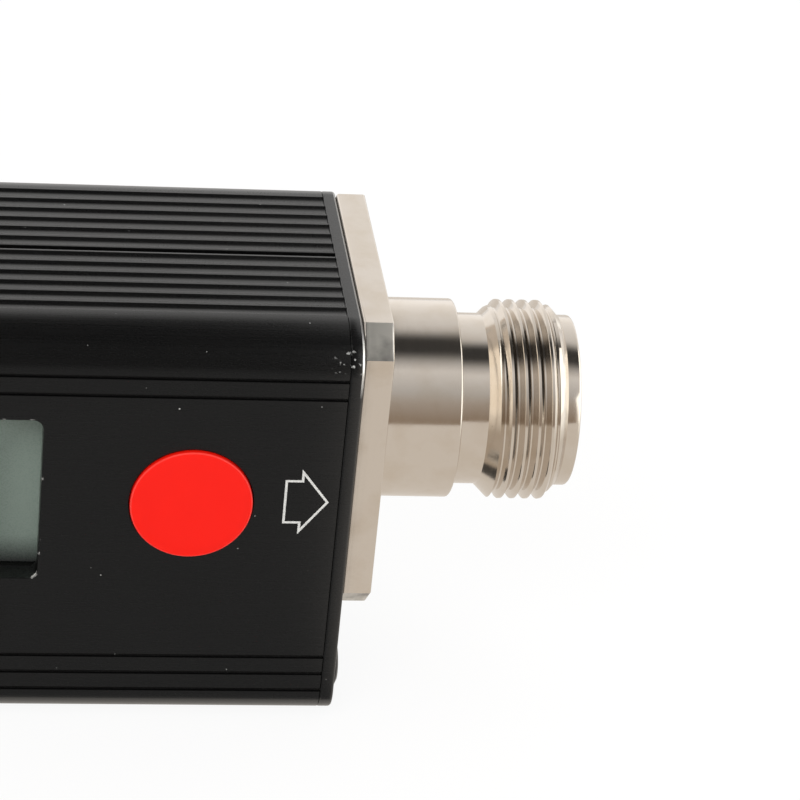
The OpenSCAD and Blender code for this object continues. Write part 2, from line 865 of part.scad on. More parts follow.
module battery_contacts() {
    color([0.80, 0.78, 0.72]) translate([cell_x, 0, cell_z]) for (s = [-1, 1]) {
        translate([s * (holder_half - leaf_t / 2) - leaf_t / 2, board_rear, -leaf_w / 2])
            cube([leaf_t, cell_y - board_rear + leaf_out, leaf_w]);
        translate([0, cell_y, 0]) at_end(s) rod_x(cell_l / 2, holder_half - leaf_t, bump_r);
    }
}

front_shell();
rear_shell();
end_plate_in();
end_plate_out();
plate_screws_in();
plate_screws_out();
jack_in();
jack_out();
insulator_in();
insulator_out();
contact_in();
contact_out();
flange_screws_in();
flange_screws_out();
flange_nuts_in();
flange_nuts_out();
lcd_glass();
lcd_frame();
lcd_strips();
lcd_backlight();
button_cap();
switch_plunger();
switch_dome();
switch_cover();
switch_housing();
main_board();
controller_chip();
board_parts();
board_header();
rf_board();
through_line();
coupler_parts();
rf_shield();
battery_cell();
battery_holder();
battery_contacts();
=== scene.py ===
import json
import math

import bmesh
import bpy
from mathutils import Matrix, Vector


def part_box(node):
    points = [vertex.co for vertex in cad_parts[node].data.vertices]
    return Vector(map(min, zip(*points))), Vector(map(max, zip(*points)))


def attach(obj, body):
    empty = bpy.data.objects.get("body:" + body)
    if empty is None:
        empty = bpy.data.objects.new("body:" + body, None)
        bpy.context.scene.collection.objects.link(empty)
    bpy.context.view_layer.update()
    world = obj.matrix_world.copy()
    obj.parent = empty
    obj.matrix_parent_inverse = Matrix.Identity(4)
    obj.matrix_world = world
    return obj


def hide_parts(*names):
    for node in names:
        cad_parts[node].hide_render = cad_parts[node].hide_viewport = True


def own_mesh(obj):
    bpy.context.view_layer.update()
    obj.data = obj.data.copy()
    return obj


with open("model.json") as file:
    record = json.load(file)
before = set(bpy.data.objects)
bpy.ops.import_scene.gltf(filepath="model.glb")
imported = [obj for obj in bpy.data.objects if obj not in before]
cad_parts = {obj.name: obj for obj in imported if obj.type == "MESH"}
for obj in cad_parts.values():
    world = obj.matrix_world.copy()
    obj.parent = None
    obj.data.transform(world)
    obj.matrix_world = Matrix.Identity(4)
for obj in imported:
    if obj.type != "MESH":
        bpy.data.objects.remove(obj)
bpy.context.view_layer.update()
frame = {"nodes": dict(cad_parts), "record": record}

MM = 0.001


def box_mm(node):
    """Lowest and highest corner of a CAD node, in millimetres."""
    low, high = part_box(node)
    return low / MM, high / MM


# Places that the frame gives, in millimetres
PLATE_LOW, PLATE_HIGH = box_mm("end_plate_out")
BUTTON_LOW, BUTTON_HIGH = box_mm("button_cap")
JACK_LOW, JACK_HIGH = box_mm("jack_out")
GLASS_LOW, GLASS_HIGH = box_mm("lcd_glass")
BOLT_HEAD = box_mm("flange_screws_out")[1].x
HALF_D = PLATE_HIGH.y
BODY_H = PLATE_HIGH.z
HALF_H = BODY_H / 2
SHELL_X = PLATE_LOW.x
PLATE_X = PLATE_HIGH.x
PANEL_Z = (BUTTON_LOW.z + BUTTON_HIGH.z) / 2
BUTTON_X = (BUTTON_LOW.x + BUTTON_HIGH.x) / 2
JACK_Z = (JACK_LOW.z + JACK_HIGH.z) / 2
JACK_L = JACK_HIGH.x - PLATE_X
FLANGE_W = JACK_HIGH.z - JACK_LOW.z

# Case, in millimetres
FRONT_CORNER = (4.3, 2.9)
REAR_CORNER = (2.6, 2.6)
FACE_WALL = 1.6
SIDE_WALL = 1.8
FLUTE_PITCH = 1.575
FLUTE_W = 1.325
FLUTE_DEPTH = 0.2
FLUTE_POWER = 3
FLUTES = 6
RIDGE_EDGE = 0.04
PART_Y = 0.66
GAP_W = 0.52
GAP_EDGE = 0.06
LINE_W = 0.3
LINE_DEPTH = 0.25
LINE_EDGE = 0.04
LINE_PITCH = 1.57
FIRST_LINE = 3.25
UPPER_LINES = 2
LOWER_LINES = 3
TONGUE_L = 1.4
TONGUE_T = 0.65
TONGUE_FIT = 0.05
CHANNEL_R = 2.1
CHANNEL_INSET = 3.1
CHANNEL_Y = 9.15
CHANNEL_BORE = 1.3
INNER_Y = HALF_D - FACE_WALL
INNER_Z = HALF_H - SIDE_WALL

# Window, button and print, in millimetres. The drawn cap's face is BUTTON_SINK below the solid's
WINDOW_W = 27.6
WINDOW_H = 14.0
WINDOW_R = 0.85
WINDOW_EDGE = 0.16
WINDOW_BOTTOM = PANEL_Z - WINDOW_H / 2
GLASS_R = 0.3
GLASS_EDGE = 0.06
SHEET_T = 0.25
SHEET_DROP = 0.05
SHEET_INSET = 0.4
SHEET_EDGE = 0.04
BUTTON_R = 4.67
BUTTON_RIM = 0.12
BUTTON_SINK = 0.5
BUTTON_HOLE_R = 4.75
BUTTON_HOLE_EDGE = 0.05
COLLAR_T = 0.7
ARROW_TIP = 35.69
ARROW_HEAD_L = 2.22
ARROW_SHAFT_L = 1.23
ARROW_HEAD_H = 5.82
ARROW_SHAFT_H = 3.89
ARROW_Z = 20.73
ARROW_STROKE = 0.19
PRINT_T = 0.012

# End plates and jacks, in millimetres, with X measured from the end plate's outer face
PLATE_EDGE = 0.2
PLATE_HOLE_R = 5.55
SCREW_HOLE_R = 1.4
FLANGE_T = 2.3
FLANGE_CUT = 2.12
FLANGE_EDGE = 0.18
FLANGE_LAP = 0.2
SINK_R = 2.375
SPIGOT_R = 5.4
SPIGOT_L = 1.6
BARREL_R = 7.9
BARREL_END = 8.9
NECK_R = 6.8
NECK_END = 11.15
CORE_INSET = 0.1
THREAD_R = 7.94
THREAD_PITCH = 1.058
THREAD_DEPTH = 0.54
THREAD_CREST = 0.2
THREAD_ROOT = 0.12
THREAD_EASE = 0.05
THREAD_END = 16.35
THREAD_SINK = 0.3
THREAD_TUCK = 0.5
CREST_X = 12.943
RIM_START = 17.4
RIM_R = 6.8
RING_EDGE = 0.18
RIM_EDGE = 0.2
MOUTH_EDGE = 0.4
SOCKET_R = 4.15
SOCKET_DEPTH = 9.1
BORE_R = 3.48
INPUT_SIDE = Matrix.Rotation(math.pi, 4, "Z")

# Fineness of the meshes: steps, the edge radius below which few steps do, and the radius at an axis
TURN_STEPS = 128
CIRCLE_STEPS = 64
BORE_STEPS = 32
ARC_STEPS = 16
ROUND_STEPS = 12
FINE_STEPS = 2
EDGE_STEPS = 3
BUTTON_EDGE_STEPS = 5
CAP_RINGS = 4
FINE_EDGE = 0.2
AXIS_R = 0.01

# Angles in degrees at which edges shade sharp, are bevelled and are dissolved,
# and distances at which points count as one: in a section, in the thread and in a CAD node (metres)
SHARP_ANGLE = 38
BEVEL_ANGLE = 35
FLAT_ANGLE = 1
SECTION_WELD = 1e-6
THREAD_WELD = 1e-5
NODE_WELD_M = 1e-6

SQUARE = ((-1, -1), (1, -1), (1, 1), (-1, 1))


def fillet(points):
    """Closed outline through (u, v, radius) points, each corner rounded by its radius."""
    outline = []
    for i, (u, v, r) in enumerate(points):
        here = Vector((u, v))
        back = (Vector(points[i - 1][:2]) - here).normalized()
        ahead = (Vector(points[(i + 1) % len(points)][:2]) - here).normalized()
        if r == 0:
            outline.append((u, v))
            continue
        half = back.angle(ahead) / 2
        centre = here + (back + ahead).normalized() * (r / math.sin(half))
        start = here + back * (r / math.tan(half)) - centre
        end = here + ahead * (r / math.tan(half)) - centre
        first = math.atan2(start.y, start.x)
        sweep = (math.atan2(end.y, end.x) - first + math.pi) % math.tau - math.pi
        steps = FINE_STEPS if r < FINE_EDGE else ROUND_STEPS
        for k in range(steps + 1):
            a = first + sweep * k / steps
            outline.append((centre.x + r * math.cos(a), centre.y + r * math.sin(a)))
    return outline


def circle(cu, cv, r, steps=CIRCLE_STEPS):
    """Points of a circle in a plane."""
    angles = [math.tau * k / steps for k in range(steps)]
    return [(cu + r * math.cos(a), cv + r * math.sin(a)) for a in angles]


def quarter(u, v, w, h):
    """Elliptical corner that ends at u and v, from the side to the top."""
    angles = [math.pi / 2 * k / ARC_STEPS for k in range(ARC_STEPS + 1)]
    return [(u - w + w * math.cos(a), v - h + h * math.sin(a)) for a in angles]


def rounded_rect(cu, cv, w, h, r):
    """Points of a rounded rectangle in a plane."""
    return fillet([(cu + s * w / 2, cv + t * h / 2, r) for s, t in SQUARE])


def ring(bm, points):
    """New vertices at the points, in their order."""
    return [bm.verts.new(p) for p in points]


def bridge(bm, a, b, coat=0):
    """Band of faces between two closed rings of the same count, with a material index."""
    for i in range(len(a)):
        bm.faces.new((a[i - 1], a[i], b[i], b[i - 1])).material_index = coat


def fill(bm, rings):
    """Flat face inside the first ring, with the other rings as holes."""
    edges = []
    for r in rings:
        for i in range(len(r)):
            pair = (r[i - 1], r[i])
            edges.append(bm.edges.get(pair) or bm.edges.new(pair))
    bmesh.ops.triangle_fill(bm, use_beauty=True, use_dissolve=False, edges=edges)


def lathe(bm, profile, x=0, z=0):
    """Closed outline of (x, radius) points, moved by x and turned about the X axis at height z."""
    rings = []
    for px, r in profile:
        rings.append(ring(bm, [(x + px, u, z + v) for u, v in circle(0, 0, r, TURN_STEPS)]))
    for i in range(len(rings)):
        bridge(bm, rings[i - 1], rings[i])


def rounding(edge, steps=EDGE_STEPS):
    """Quarter round as (inset, depth) pairs, from the face to the side."""
    angles = [math.pi / 2 * k / steps for k in range(steps + 1)]
    return [(edge * (1 - math.sin(a)), edge * (1 - math.cos(a))) for a in angles]


def turned_edge(x, r, edge, steps=EDGE_STEPS):
    """Points of a profile for lathe that round its outer corner at x and radius r."""
    return [(x - depth, r - inset) for inset, depth in reversed(rounding(edge, steps))]


def slab(bm, outline, x0, x1, edge, holes, worn=0):
    """Plate from x0 to x1. outline(grow) gives its border, rounded by edge.
    Each hole is a centre and its (x, radius) steps from x1 to x0.
    The rounding at x1 has the material index worn."""
    levels = [(-inset, x0 + depth) for inset, depth in rounding(edge)]
    levels += [(-inset, x1 - depth) for inset, depth in reversed(rounding(edge))]
    sides = [ring(bm, [(x, y, z) for y, z in outline(grow)]) for grow, x in levels]
    for k, (a, b) in enumerate(zip(sides, sides[1:])):
        bridge(bm, a, b, worn if k > len(sides) / 2 - 1 else 0)
    front, back = [sides[-1]], [sides[0]]
    for cy, cz, steps in holes:
        walls = [ring(bm, [(x, y, z) for y, z in circle(cy, cz, r)]) for x, r in steps]
        for a, b in zip(walls, walls[1:]):
            bridge(bm, a, b)
        front.append(walls[0])
        back.append(walls[-1])
    fill(bm, front)
    fill(bm, back)


def placed(name, data):
    """New object in the scene."""
    obj = bpy.data.objects.new(name, data)
    bpy.context.scene.collection.objects.link(obj)
    return obj


def piece(name, bm, body, materials, replaces=(), turn=None):
    """Finished object from a bmesh in millimetres, riding on a body."""
    if turn is not None:
        bm.transform(turn)
    bm.transform(Matrix.Scale(MM, 4))
    bmesh.ops.recalc_face_normals(bm, faces=bm.faces)
    mesh = bpy.data.meshes.new(name)
    bm.to_mesh(mesh)
    bm.free()
    mesh.shade_smooth()
    mesh.set_sharp_from_angle(angle=math.radians(SHARP_ANGLE))
    for m in materials:
        mesh.materials.append(m)
    obj = placed(name, mesh)
    weighted = obj.modifiers.new("weighted", "WEIGHTED_NORMAL")
    weighted.keep_sharp = True
    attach(obj, body)
    if replaces:
        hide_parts(*replaces)
    return obj


class Graph:
    """A material's node tree, with short ways to add what the materials share."""

    def __init__(self, name):
        self.material = bpy.data.materials.new(name)
        self.material.use_nodes = True
        self.tree = self.material.node_tree
        self.shader = self.tree.nodes["Principled BSDF"]
        self.place = self.node("ShaderNodeTexCoord").outputs["Object"]

    def node(self, kind, **inputs):
        """New node, with inputs given by their names."""
        made = self.tree.nodes.new(kind)
        for key, value in inputs.items():
            self.put(made.inputs[key], value)
        return made

    def put(self, socket, value):
        """Links an output to a socket, or sets the socket's own value."""
        if isinstance(value, bpy.types.NodeSocket):
            self.tree.links.new(value, socket)
        elif isinstance(value, (tuple, list)) and len(value) == 3 and socket.type == "RGBA":
            socket.default_value = (*value, 1)
        else:
            socket.default_value = value

    def math(self, operation, a, b=0.0, clamp=False):
        made = self.tree.nodes.new("ShaderNodeMath")
        made.operation = operation
        made.use_clamp = clamp
        self.put(made.inputs[0], a)
        self.put(made.inputs[1], b)
        return made.outputs[0]

    def mix(self, share, a, b):
        """Colour between a and b, by the share of b."""
        made = self.tree.nodes.new("ShaderNodeMix")
        made.data_type = "RGBA"
        self.put(made.inputs["Factor"], share)
        self.put(made.inputs["A"], a)
        self.put(made.inputs["B"], b)
        return made.outputs["Result"]

    def span(self, value, low, high, to_low=0.0, to_high=1.0):
        """Value carried from one range to another and held at its ends."""
        made = self.node("ShaderNodeMapRange", **{
            "Value": value, "From Min": low, "From Max": high, "To Min": to_low, "To Max": to_high,
        })
        return made.outputs["Result"]

    def along(self, axis):
        """Object coordinate on one axis, in metres."""
        return self.node("ShaderNodeSeparateXYZ", Vector=self.place).outputs[axis]

    def vector(self, operation, value):
        """Node for an operation on the object coordinates and a fixed vector."""
        made = self.tree.nodes.new("ShaderNodeVectorMath")
        made.operation = operation
        self.put(made.inputs[0], self.place)
        made.inputs[1].default_value = value
        return made

    def noise(self, scale, detail=2.0, stretch=None):
        """Noise with scale cells to a metre, times a factor on each axis where stretch gives one."""
        vector = self.vector("MULTIPLY", stretch).outputs[0] if stretch else self.place
        made = self.node("ShaderNodeTexNoise", Vector=vector, Scale=scale, Detail=detail)
        return made.outputs["Fac"]

    def specks(self, scale, share, size):
        """1 on scattered dots: share is how many cells have one, size its radius in cells."""
        made = self.node("ShaderNodeTexVoronoi", Vector=self.place, Scale=scale)
        near = self.span(made.outputs["Distance"], size, size * 0.6)
        split = self.node("ShaderNodeSeparateColor", Color=made.outputs["Color"])
        chosen = self.math("LESS_THAN", split.outputs["Red"], share)
        return self.math("MULTIPLY", near, chosen)

    def near(self, point, inner, outer):
        """1 within inner of a point in millimetres, 0 beyond outer."""
        away = self.vector("DISTANCE", [c * MM for c in point]).outputs["Value"]
        return self.span(away, outer * MM, inner * MM)

    def bump(self, height, strength, distance):
        made = self.node("ShaderNodeBump", Height=height, Strength=strength, Distance=distance)
        return made.outputs["Normal"]

    def set(self, **inputs):
        """Sets the shader's inputs, with _ for the spaces in their names, and gives the material."""
        for key, value in inputs.items():
            self.put(self.shader.inputs[key.replace("_", " ")], value)
        return self.material

    def show(self, node):
        """Makes a shader node the material's surface."""
        self.tree.links.new(node.outputs[0], self.tree.nodes["Material Output"].inputs["Surface"])


# Middle of the scuff on the case's upper front corner, in millimetres
SCUFF = (SHELL_X, -HALF_D + 0.3, BODY_H - 1.9)

# Relief of grain in metres
GRAIN_DEPTH = 0.00002
WEAVE_DEPTH = 0.00003

# Depths below a screw head's face at which the painted shade in its recess starts and is full, in
# millimetres
RECESS_SHADE_START = 0.08
RECESS_SHADE_FULL = 0.35

BARE_METAL = (0.80, 0.79, 0.77)
LINT = (0.40, 0.40, 0.39)
PALE_DUST = (0.9, 0.75, 0.72)
# Colour of the painted shade in the screw-head recesses
RECESS_SHADE_COLOUR = (0.05, 0.045, 0.04)


def anodised(name, bare=0.0, scuff_and_top_highlight=False):
    """Satin black anodising with fine grain, drawn streaks, dust and a scuffed corner.
    The larger bare is, the more of the surface is rubbed down to the metal. With the scuff option only the
    part near the scuff is, and a band along the top is rubbed a little to bare metal all along: partly
    wear, partly a painted highlight on the top edge."""
    g = Graph(name)
    cloud = g.noise(130.0, detail=3.0)
    grain = g.noise(14000.0)
    streak = g.noise(1.0, detail=3.0, stretch=(90.0, 9000.0, 9000.0))
    colour = g.mix(cloud, (0.0016, 0.0016, 0.0018), (0.0029, 0.0028, 0.0028))
    coarse = g.specks(400.0, share=0.55, size=0.030)
    fine = g.specks(900.0, share=0.14, size=0.045)
    flecks = g.span(g.noise(3000.0), 0.62, 0.70)
    scuff = g.math("MULTIPLY", g.near(SCUFF, inner=0.5, outer=1.5), flecks, clamp=True)
    lint = g.math("MAXIMUM", g.math("ADD", coarse, fine, clamp=True), scuff)
    colour = g.mix(lint, colour, LINT)
    worn = 0.0
    if bare:
        worn = g.span(g.noise(1500.0, detail=4.0), 0.78 - 0.6 * bare, 0.84 - 0.6 * bare)
        if scuff_and_top_highlight:
            # Band along the top rubbed to bare metal: partly wear, partly a painted highlight on the top
            # edge
            top = g.span(g.along("Z"), (BODY_H - 3.4) * MM, (BODY_H - 2.4) * MM, 0.0, 0.3)
            around = g.math("MULTIPLY", worn, g.near(SCUFF, inner=1.2, outer=3.0))
            worn = g.math("MAXIMUM", top, around)
        colour = g.mix(worn, colour, BARE_METAL)
    rough = g.span(g.math("ADD", grain, streak), 0.6, 1.4, 0.24, 0.34)
    rough = g.math("ADD", rough, g.math("MULTIPLY", lint, 0.4))
    relief = g.math("ADD", grain, g.math("MULTIPLY", streak, 0.6))
    return g.set(
        Base_Color=colour, Metallic=worn, Roughness=rough,
        Specular_IOR_Level=0.7, Normal=g.bump(relief, 0.10, GRAIN_DEPTH),
    )


def plated(name, colour, stain, rough, ring_marks, head=None):
    """Bright plating with turning marks round X, faint stains and pits.
    Screw heads whose faces are head from the middle of the object have painted shade in their recesses."""
    g = Graph(name)
    marks = g.noise(1.0, detail=3.0, stretch=(ring_marks, 60.0, 60.0))
    blotch = g.noise(420.0, detail=4.0)
    pits = g.specks(900.0, share=0.10, size=0.06)
    tone = g.mix(g.span(blotch, 0.45, 0.75), colour, stain)
    tone = g.mix(g.math("MULTIPLY", pits, 0.7), tone, [c * 0.35 for c in colour])
    if head:
        # Painted shade: darker colour below the screw head's face, in its recess
        away = g.math("ABSOLUTE", g.along("X"))
        painted_recess_shade = g.span(away, (head - RECESS_SHADE_START) * MM, (head - RECESS_SHADE_FULL) * MM)
        tone = g.mix(painted_recess_shade, tone, RECESS_SHADE_COLOUR)
    sheen = g.span(g.math("ADD", marks, blotch), 0.7, 1.3, rough * 0.7, rough * 1.3)
    return g.set(
        Base_Color=tone, Metallic=1.0, Roughness=sheen, Normal=g.bump(marks, 0.05, GRAIN_DEPTH),
    )


def moulded(name, dark, light, rough, grain_scale, grain, gloss=0.5, dust=0.0):
    """Moulded plastic with a fine spark texture, slight colour drift and some dust."""
    g = Graph(name)
    spark = g.noise(grain_scale, detail=3.0)
    drift = g.noise(260.0, detail=3.0)
    colour = g.mix(drift, dark, light)
    if dust:
        coarse = g.specks(520.0, share=dust, size=0.035)
        fine = g.specks(1300.0, share=dust, size=0.05)
        lint = g.math("ADD", coarse, fine, clamp=True)
        colour = g.mix(g.math("MULTIPLY", lint, 0.6), colour, PALE_DUST)
    return g.set(
        Base_Color=colour, Roughness=g.span(spark, 0.3, 0.7, rough * 0.85, rough * 1.15),
        Normal=g.bump(spark, grain, GRAIN_DEPTH), Specular_IOR_Level=gloss,
    )


def display(name, bottom):
    """Grey-green polariser over an unlit liquid crystal, with painted light making it paler at its sides
    and top.
    It has painted shade towards the height bottom, where the window's wall shades it."""
    g = Graph(name)
    colour = g.mix(g.noise(60.0), (0.128, 0.162, 0.140), (0.140, 0.176, 0.152))
    height = g.along("Z")
    # Painted light: paler colour towards the sides and the top, against the shade of the window's walls
    sides = g.span(g.math("ABSOLUTE", g.along("X")), 10.8 * MM, 13.8 * MM)
    top = g.span(height, (bottom + 10) * MM, (bottom + 14) * MM)
    rim = g.math("MAXIMUM", sides, top)
    colour = g.mix(g.math("MULTIPLY", rim, 0.75), colour, (0.24, 0.30, 0.26))
    # Painted shade: darker colour towards the window's bottom wall
    shade = g.span(height, (bottom + 2.4) * MM, bottom * MM, 0.0, 0.95)
    colour = g.mix(shade, colour, (0.03, 0.03, 0.03))
    rough = g.span(g.noise(9000.0), 0.3, 0.7, 0.24, 0.32)
    return g.set(Base_Color=colour, Roughness=rough, Specular_IOR_Level=0.4)


def board(name):
    """Green solder mask over a woven glass board, with faint tracks."""
    g = Graph(name)
    warp = g.noise(1.0, detail=1.0, stretch=(4200.0, 300.0, 300.0))
    weft = g.noise(1.0, detail=1.0, stretch=(300.0, 4200.0, 4200.0))
    weave = g.math("MULTIPLY", warp, weft)
    tracks = g.span(g.noise(1.0, detail=0.0, stretch=(140.0, 900.0, 900.0)), 0.52, 0.54)
    colour = g.mix(tracks, (0.012, 0.085, 0.030), (0.030, 0.150, 0.060))
    rough = g.span(weave, 0.1, 0.5, 0.30, 0.45)
    return g.set(Base_Color=colour, Roughness=rough, Normal=g.bump(weave, 0.15, WEAVE_DEPTH))


def printed(name):
    """White screen print, slightly uneven in tone and gloss."""
    g = Graph(name)
    dabs = g.noise(5200.0, detail=3.0)
    colour = g.mix(g.span(dabs, 0.35, 0.75), (0.66, 0.66, 0.64), (0.52, 0.52, 0.51))
    return g.set(Base_Color=colour, Roughness=g.span(dabs, 0.3, 0.7, 0.5, 0.7))


# Plated metals: colour, stain, roughness and turning marks to a metre, and where the screw heads are, below
# whose faces shade is painted
PLATED = {
    "black_steel": ((0.035, 0.035, 0.037), (0.06, 0.058, 0.055), 0.34, 9000.0),
    "nickel_plate": ((0.66, 0.60, 0.535), (0.62, 0.55, 0.47), 0.13, 9000.0),
    "sawn_nickel": ((0.62, 0.60, 0.56), (0.27, 0.26, 0.25), 0.45, 4000.0),
    "contact_metal": ((0.78, 0.56, 0.22), (0.72, 0.48, 0.17), 0.2, 9000.0),
    "plated_steel": ((0.60, 0.58, 0.55), (0.52, 0.49, 0.45), 0.24, 7000.0),
    "bolt_heads": ((0.60, 0.58, 0.55), (0.52, 0.49, 0.45), 0.24, 7000.0, BOLT_HEAD),
    "sheet_steel": ((0.58, 0.58, 0.56), (0.50, 0.49, 0.46), 0.28, 6000.0),
    "small_parts": ((0.50, 0.48, 0.44), (0.40, 0.36, 0.31), 0.35, 5000.0),
    "copper": ((0.68, 0.46, 0.22), (0.60, 0.36, 0.16), 0.3, 5000.0),
}

# Plastics, rubber and resin: two colours, roughness, grain to a metre, its strength, gloss and dust
MOULDED = {
    "insulator": ((0.80, 0.79, 0.75), (0.86, 0.85, 0.82), 0.42, 5000.0, 0.05),
    "glass_border": ((0.010, 0.011, 0.010), (0.016, 0.017, 0.016), 0.25, 3000.0, 0.03),
    "black_plastic": ((0.012, 0.012, 0.012), (0.018, 0.018, 0.018), 0.5, 7000.0, 0.15),
    "strip_rubber": ((0.62, 0.30, 0.34), (0.70, 0.36, 0.40), 0.7, 4000.0, 0.2),
    "light_plate": ((0.76, 0.79, 0.74), (0.82, 0.84, 0.80), 0.3, 3000.0, 0.05),
    "red_plastic": ((0.85, 0.007, 0.002), (0.91, 0.009, 0.003), 0.45, 6000.0, 0.06, 0.12, 0.08),
    # Paler red for the painted highlight on the button's rim
    "red_rim_highlight": ((0.88, 0.012, 0.008), (0.94, 0.06, 0.045), 0.4, 900.0, 0.06, 0.3),
    "chip_resin": ((0.012, 0.012, 0.013), (0.02, 0.02, 0.02), 0.6, 9000.0, 0.3),
    "cell_wrap": ((0.07, 0.10, 0.22), (0.09, 0.13, 0.26), 0.32, 3000.0, 0.05),
}

MATERIALS = {
    "anodised_case": anodised("anodised_case"),
    "anodised_plate": anodised("anodised_plate"),
    "window_edge": anodised("window_edge", bare=0.28),
    # Outer edge of the end plates: wear, and a painted highlight along its top
    "plate_edge": anodised("plate_edge", bare=0.9, scuff_and_top_highlight=True),
    "display_glass": display("display_glass", WINDOW_BOTTOM),
    "board": board("board"),
    "print": printed("print"),
    **{name: plated(name, *look) for name, look in PLATED.items()},
    **{name: moulded(name, *look) for name, look in MOULDED.items()},
}


def flute(middle):
    """Points of one concave flute as (u, z, radius), from its outer rim to its inner one."""
    points = []
    for k in range(ARC_STEPS + 1):
        a = 1 - 2 * k / ARC_STEPS
        edge = RIDGE_EDGE if k in (0, ARC_STEPS) else 0
        depth = FLUTE_DEPTH * (1 - abs(a) ** FLUTE_POWER)
        points.append((middle + FLUTE_W / 2 * a, HALF_H - depth, edge))
    return points


def half_wall(edge, lines, corner, edge_points):
    """Upper half of a case section, from the flat face over the flutes to the inner corner."""
    points = []
    for k in reversed(range(lines)):
        z = HALF_H - FIRST_LINE - k * LINE_PITCH
        for side in (-1, 1):
            for u in (HALF_D, HALF_D - LINE_DEPTH)[::-side]:
                points.append((u, z + side * LINE_W / 2, LINE_EDGE))
    points += [(u, z, 0) for u, z in quarter(HALF_D, HALF_H, *corner)]
    for k in reversed(range(FLUTES)):
        points += flute(edge + (k + 1) * FLUTE_PITCH - FLUTE_W / 2)
    points.append((edge, HALF_H, GAP_EDGE))
    points += edge_points
    channel_z = HALF_H - CHANNEL_INSET
    rise = math.asin((INNER_Z - channel_z) / CHANNEL_R)
    for k in range(ARC_STEPS + 1):
        a = math.pi - rise + (math.pi + 2 * rise) * k / ARC_STEPS
        points.append((CHANNEL_Y + CHANNEL_R * math.cos(a), channel_z + CHANNEL_R * math.sin(a), 0))
    points.append((INNER_Y, INNER_Z, 0))
    return points


def case_half(name, node, side, outline, cuts):
    """Case half from a section in (distance from the middle, height), on the side of Y given.
    Each cut is a function of how far it grows, its edge rounding and the material index of that edge."""
    bm = bmesh.new()
    ends = [ring(bm, [(x, side * u, HALF_H + v) for u, v in outline]) for x in (-SHELL_X, SHELL_X)]
    near, far = ends
    for i in range(len(outline)):
        (u0, v0), (u1, v1) = outline[i - 1], outline[i]
        border = (near[i - 1], near[i], far[i], far[i - 1])
        flat = abs(u0 - u1) < SECTION_WELD and abs(v0 - v1) > HALF_H
        if not (flat and cuts):
            bm.faces.new(border)
        elif u0 > INNER_Y + FACE_WALL / 2:
            outer = [border]
        else:
            inner = [border]
    if cuts:
        for cut, edge, coat in cuts:
            depths = [(grow, HALF_D - depth) for grow, depth in rounding(edge)] + [(0, INNER_Y)]
            walls = [ring(bm, [(x, side * u, z) for x, z in cut(grow)]) for grow, u in depths]
            for k, (a, b) in enumerate(zip(walls, walls[1:])):
                bridge(bm, a, b, coat if k < len(walls) - 2 else 0)
            outer.append(walls[0])
            inner.append(walls[-1])
        fill(bm, outer)
        fill(bm, inner)
    tunnels = [[], []]
    for z in (CHANNEL_INSET, BODY_H - CHANNEL_INSET):
        bore = circle(side * CHANNEL_Y, z, CHANNEL_BORE, BORE_STEPS)
        walls = [ring(bm, [(x, y, h) for y, h in bore]) for x in (-SHELL_X, SHELL_X)]
        bridge(bm, *walls)
        for end, wall in zip(tunnels, walls):
            end.append(wall)
    for end, holes in zip(ends, tunnels):
        fill(bm, [end, *holes])
    coats = [MATERIALS["anodised_case"], MATERIALS["window_edge"]]
    piece(name, bm, "case", coats, [node])


def upside_down(points):
    return [(u, -v, r) for u, v, r in reversed(points)]


def build_case():
    """Front half with its slot, window and button hole, and rear half with the tongue."""
    edge = GAP_W / 2 - PART_Y
    slot_top = INNER_Z + TONGUE_T + TONGUE_FIT
    slot_end = edge + TONGUE_L + TONGUE_FIT
    slot = [(edge, slot_top, 0), (slot_end, slot_top, 0), (slot_end, INNER_Z, 0)]
    upper = half_wall(edge, UPPER_LINES, FRONT_CORNER, slot)
    lower = half_wall(edge, LOWER_LINES, FRONT_CORNER, slot)

    def window(grow):
        return rounded_rect(0, PANEL_Z, WINDOW_W + 2 * grow, WINDOW_H + 2 * grow, WINDOW_R + grow)

    def button_hole(grow):
        return circle(BUTTON_X, PANEL_Z, BUTTON_HOLE_R + grow)

    cuts = [(window, WINDOW_EDGE, 1), (button_hole, BUTTON_HOLE_EDGE, 0)]
    case_half("front_case", "front_shell", -1, fillet(upper + upside_down(lower)), cuts)

    edge = GAP_W / 2 + PART_Y
    tongue_top = INNER_Z + TONGUE_T
    tongue_end = edge - GAP_W - TONGUE_L
    tongue = [(edge, tongue_top, 0), (tongue_end, tongue_top, 0), (tongue_end, INNER_Z, 0)]
    rear = half_wall(edge, 0, REAR_CORNER, tongue)
    case_half("rear_case", "rear_shell", 1, fillet(rear + upside_down(rear)), [])


def build_end_plate(name, node, front, turn):
    """End plate, made for the output end with its front corners on the side front of Y."""
    bm = bmesh.new()
    holes = [(0, JACK_Z, [(PLATE_X, PLATE_HOLE_R), (SHELL_X, PLATE_HOLE_R)])]
    for y in (-CHANNEL_Y, CHANNEL_Y):
        for z in (CHANNEL_INSET, JACK_Z - CHANNEL_Y, JACK_Z + CHANNEL_Y):
            holes.append((y, z, [(PLATE_X, SCREW_HOLE_R), (SHELL_X, SCREW_HOLE_R)]))

    def border(grow):
        outline = []
        for s, t in ((1, 1), (-1, 1), (-1, -1), (1, -1)):
            w, h = FRONT_CORNER if s == front else REAR_CORNER
            arc = quarter(HALF_D + grow, HALF_H + grow, w + grow, h + grow)
            outline += [(s * y, HALF_H + t * z) for y, z in arc[::s * t]]
        return outline

    slab(bm, border, SHELL_X, PLATE_X, PLATE_EDGE, holes, worn=1)
    coats = [MATERIALS["anodised_plate"], MATERIALS["plate_edge"]]
    piece(name, bm, "case", coats, [node], turn)


